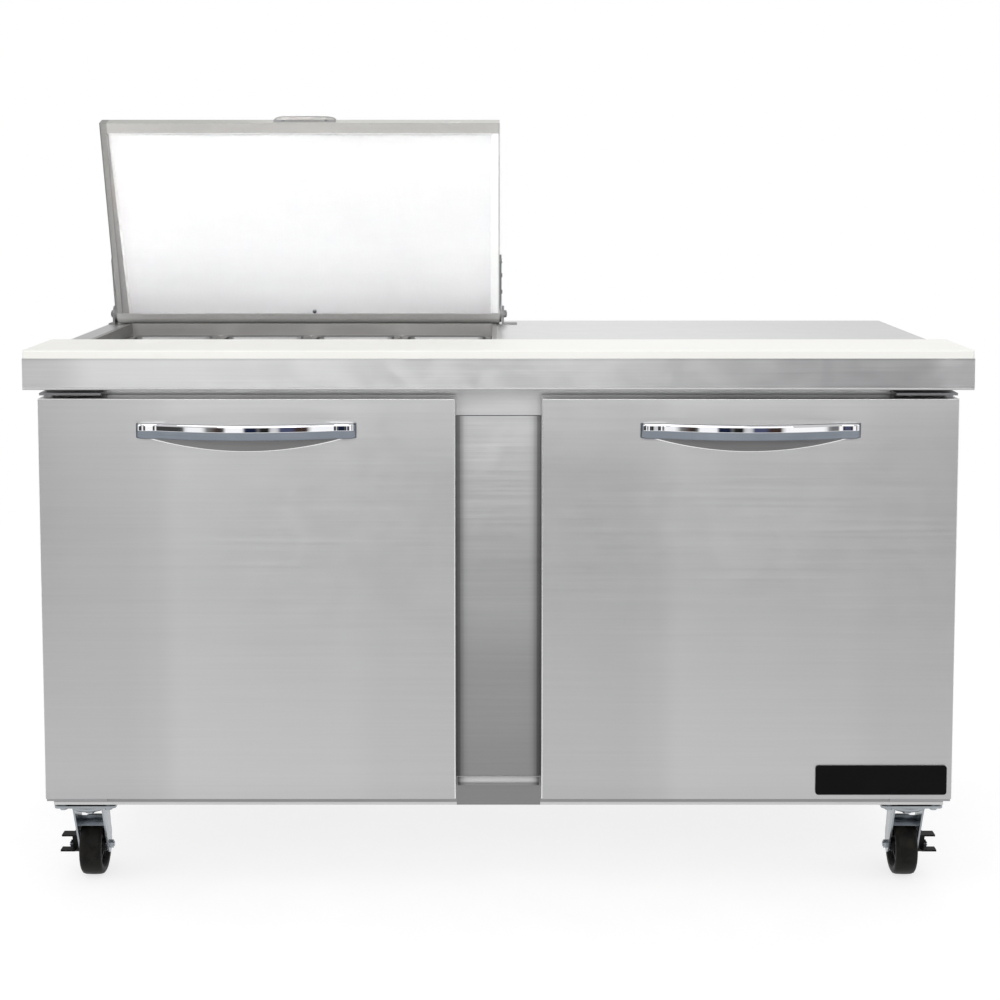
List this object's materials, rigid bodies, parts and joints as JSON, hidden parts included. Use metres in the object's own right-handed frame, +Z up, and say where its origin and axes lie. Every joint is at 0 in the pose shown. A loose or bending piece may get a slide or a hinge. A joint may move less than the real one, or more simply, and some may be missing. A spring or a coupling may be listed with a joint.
{
  "type": "sandwich prep table",
  "caption": "Refrigerated sandwich prep table with hinged insulated lid over removable food pans, full-width cutting board, hinged storage doors and braked casters.",
  "frame": {"origin": "on the floor, under the middle of the worktop", "axes": "+X to the right as the cook faces the doors, +Y towards the back, +Z up"},
  "size_m": [1.524, 0.762, 1.3152],
  "materials": {
    "steel": "horizontal brushed grain",
    "well_steel": "brushed",
    "pan_steel": "satin, deep drawn",
    "foam": "foamed-in-place insulation, matte",
    "aluminium_liner": "satin",
    "coil_aluminium": "bare fins",
    "epoxy_wire": "epoxy coated",
    "dark_zinc": "plated",
    "galvanised": "galvanised",
    "black_enamel": "semi-gloss",
    "copper": "drawn tube",
    "zinc": "bright zinc plate",
    "bright_liner": "bright, near mirror",
    "chrome": "polished",
    "white_plastic": "smooth",
    "black_plastic": "semi-gloss",
    "board_plastic": "fine matte grain",
    "grey_gasket": "matte",
    "black_rubber": "matte",
    "black_tread": "hard rubber"
  },
  "bodies": {
    "cabinet": {"cabinet_casing": "steel", "front_frame": "steel", "mullion": "steel", "cabinet_insulation": "foam", "cabinet_liner": "aluminium_liner", "worktop": "steel", "pan_well": "well_steel", "pan_divider_bar": "well_steel", "wire_shelves": "epoxy_wire", "shelf_pilasters": "aluminium_liner", "door_hinge_brackets": "dark_zinc", "lid_hinge_ears": "steel", "lid_bumpers": "black_rubber", "rear_grille": "galvanised", "compressor": "black_enamel", "condenser_coil": "coil_aluminium", "condenser_fan_motor": "dark_zinc", "evaporator_coil": "coil_aluminium", "evaporator_housing": "white_plastic", "refrigerant_lines": "copper", "cord_gland": "black_plastic", "caster_plates": "zinc"},
    "lid": {"lid_shell": "steel", "lid_core": "foam", "lid_liner": "bright_liner", "lid_handle": "steel", "lid_straps": "dark_zinc"},
    "left_door": {"left_door_skin": "steel", "left_door_core": "foam", "left_door_liner": "white_plastic", "left_door_gasket": "grey_gasket", "left_door_handle": "chrome"},
    "right_door": {"right_door_skin": "steel", "right_door_core": "foam", "right_door_liner": "white_plastic", "right_door_gasket": "grey_gasket", "right_door_handle": "chrome", "right_door_badge": "black_plastic"},
    "cutting_board": {"cutting_board": "board_plastic"},
    "condenser_fan": {"condenser_fan": "coil_aluminium"},
    "evaporator_fan": {"evaporator_fan": "black_plastic"},
    "thermostat_dial": {"thermostat_dial": "black_plastic"},
    "pan_front_1": {"pan_front_1": "pan_steel"},
    "pan_front_2": {"pan_front_2": "pan_steel"},
    "pan_front_3": {"pan_front_3": "pan_steel"},
    "pan_front_4": {"pan_front_4": "pan_steel"},
    "pan_rear_1": {"pan_rear_1": "pan_steel"},
    "pan_rear_2": {"pan_rear_2": "pan_steel"},
    "pan_rear_3": {"pan_rear_3": "pan_steel"},
    "pan_rear_4": {"pan_rear_4": "pan_steel"},
    "caster_swivel_front_left": {"caster_fork_front_left": "zinc"},
    "caster_wheel_front_left": {"caster_wheel_front_left": "black_tread"},
    "caster_swivel_front_right": {"caster_fork_front_right": "zinc"},
    "caster_wheel_front_right": {"caster_wheel_front_right": "black_tread"},
    "caster_swivel_rear_left": {"caster_fork_rear_left": "zinc"},
    "caster_wheel_rear_left": {"caster_wheel_rear_left": "black_tread"},
    "caster_swivel_rear_right": {"caster_fork_rear_right": "zinc"},
    "caster_wheel_rear_right": {"caster_wheel_rear_right": "black_tread"},
    "brake_lever_left": {"brake_lever_left": "black_plastic"},
    "brake_lever_right": {"brake_lever_right": "black_plastic"}
  },
  "joints": [
    {"name": "lid_hinge", "type": "hinge", "parent": "cabinet", "child": "lid", "pos_m": [-0.371, 0.299, 0.934], "axis": [-1, 0, 0], "range_deg": [-70, 0]},
    {"name": "left_door_hinge", "type": "hinge", "parent": "cabinet", "child": "left_door", "pos_m": [-0.7345, -0.316, 0.512], "axis": [0, 0, -1], "range_deg": [0, 110]},
    {"name": "right_door_hinge", "type": "hinge", "parent": "cabinet", "child": "right_door", "pos_m": [0.7345, -0.316, 0.512], "axis": [0, 0, 1], "range_deg": [0, 110]},
    {"name": "cutting_board_lift", "type": "slide", "parent": "cabinet", "child": "cutting_board", "axis": [0, 0, 1], "range_m": [0, 0.1]},
    {"name": "pan_front_1_lift", "type": "slide", "parent": "cabinet", "child": "pan_front_1", "axis": [0, 0, 1], "range_m": [0, 0.15]},
    {"name": "pan_front_2_lift", "type": "slide", "parent": "cabinet", "child": "pan_front_2", "axis": [0, 0, 1], "range_m": [0, 0.15]},
    {"name": "pan_front_3_lift", "type": "slide", "parent": "cabinet", "child": "pan_front_3", "axis": [0, 0, 1], "range_m": [0, 0.15]},
    {"name": "pan_front_4_lift", "type": "slide", "parent": "cabinet", "child": "pan_front_4", "axis": [0, 0, 1], "range_m": [0, 0.15]},
    {"name": "pan_rear_1_lift", "type": "slide", "parent": "cabinet", "child": "pan_rear_1", "axis": [0, 0, 1], "range_m": [0, 0.15]},
    {"name": "pan_rear_2_lift", "type": "slide", "parent": "cabinet", "child": "pan_rear_2", "axis": [0, 0, 1], "range_m": [0, 0.15]},
    {"name": "pan_rear_3_lift", "type": "slide", "parent": "cabinet", "child": "pan_rear_3", "axis": [0, 0, 1], "range_m": [0, 0.15]},
    {"name": "pan_rear_4_lift", "type": "slide", "parent": "cabinet", "child": "pan_rear_4", "axis": [0, 0, 1], "range_m": [0, 0.15]},
    {"name": "caster_front_left_swivel", "type": "hinge", "parent": "cabinet", "child": "caster_swivel_front_left", "pos_m": [-0.698, -0.231, 0.135], "axis": [0, 0, 1], "continuous": true},
    {"name": "caster_front_right_swivel", "type": "hinge", "parent": "cabinet", "child": "caster_swivel_front_right", "pos_m": [0.698, -0.231, 0.135], "axis": [0, 0, 1], "continuous": true},
    {"name": "caster_rear_left_swivel", "type": "hinge", "parent": "cabinet", "child": "caster_swivel_rear_left", "pos_m": [-0.698, 0.285, 0.135], "axis": [0, 0, 1], "continuous": true},
    {"name": "caster_rear_right_swivel", "type": "hinge", "parent": "cabinet", "child": "caster_swivel_rear_right", "pos_m": [0.698, 0.285, 0.135], "axis": [0, 0, 1], "continuous": true},
    {"name": "caster_front_left_roll", "type": "hinge", "parent": "caster_swivel_front_left", "child": "caster_wheel_front_left", "pos_m": [-0.698, -0.196, 0.0508], "axis": [1, 0, 0], "continuous": true},
    {"name": "caster_front_right_roll", "type": "hinge", "parent": "caster_swivel_front_right", "child": "caster_wheel_front_right", "pos_m": [0.698, -0.196, 0.0508], "axis": [1, 0, 0], "continuous": true},
    {"name": "caster_rear_left_roll", "type": "hinge", "parent": "caster_swivel_rear_left", "child": "caster_wheel_rear_left", "pos_m": [-0.698, 0.32, 0.0508], "axis": [1, 0, 0], "continuous": true},
    {"name": "caster_rear_right_roll", "type": "hinge", "parent": "caster_swivel_rear_right", "child": "caster_wheel_rear_right", "pos_m": [0.698, 0.32, 0.0508], "axis": [1, 0, 0], "continuous": true},
    {"name": "brake_left_rock", "type": "hinge", "parent": "caster_swivel_front_left", "child": "brake_lever_left", "pos_m": [-0.698, -0.196, 0.0508], "axis": [1, 0, 0], "range_deg": [0, 18]},
    {"name": "brake_right_rock", "type": "hinge", "parent": "caster_swivel_front_right", "child": "brake_lever_right", "pos_m": [0.698, -0.196, 0.0508], "axis": [1, 0, 0], "range_deg": [0, 18]},
    {"name": "condenser_fan_spin", "type": "hinge", "parent": "cabinet", "child": "condenser_fan", "pos_m": [0.028, 0.274, 0.3084], "axis": [1, 0, 0], "continuous": true},
    {"name": "evaporator_fan_spin", "type": "hinge", "parent": "cabinet", "child": "evaporator_fan", "pos_m": [0.39, 0.182, 0.801], "axis": [0, 1, 0], "continuous": true},
    {"name": "thermostat_dial_turn", "type": "hinge", "parent": "cabinet", "child": "thermostat_dial", "pos_m": [0.657, 0.1896, 0.806], "axis": [0, 1, 0], "range_deg": [0, 270]}
  ]
}
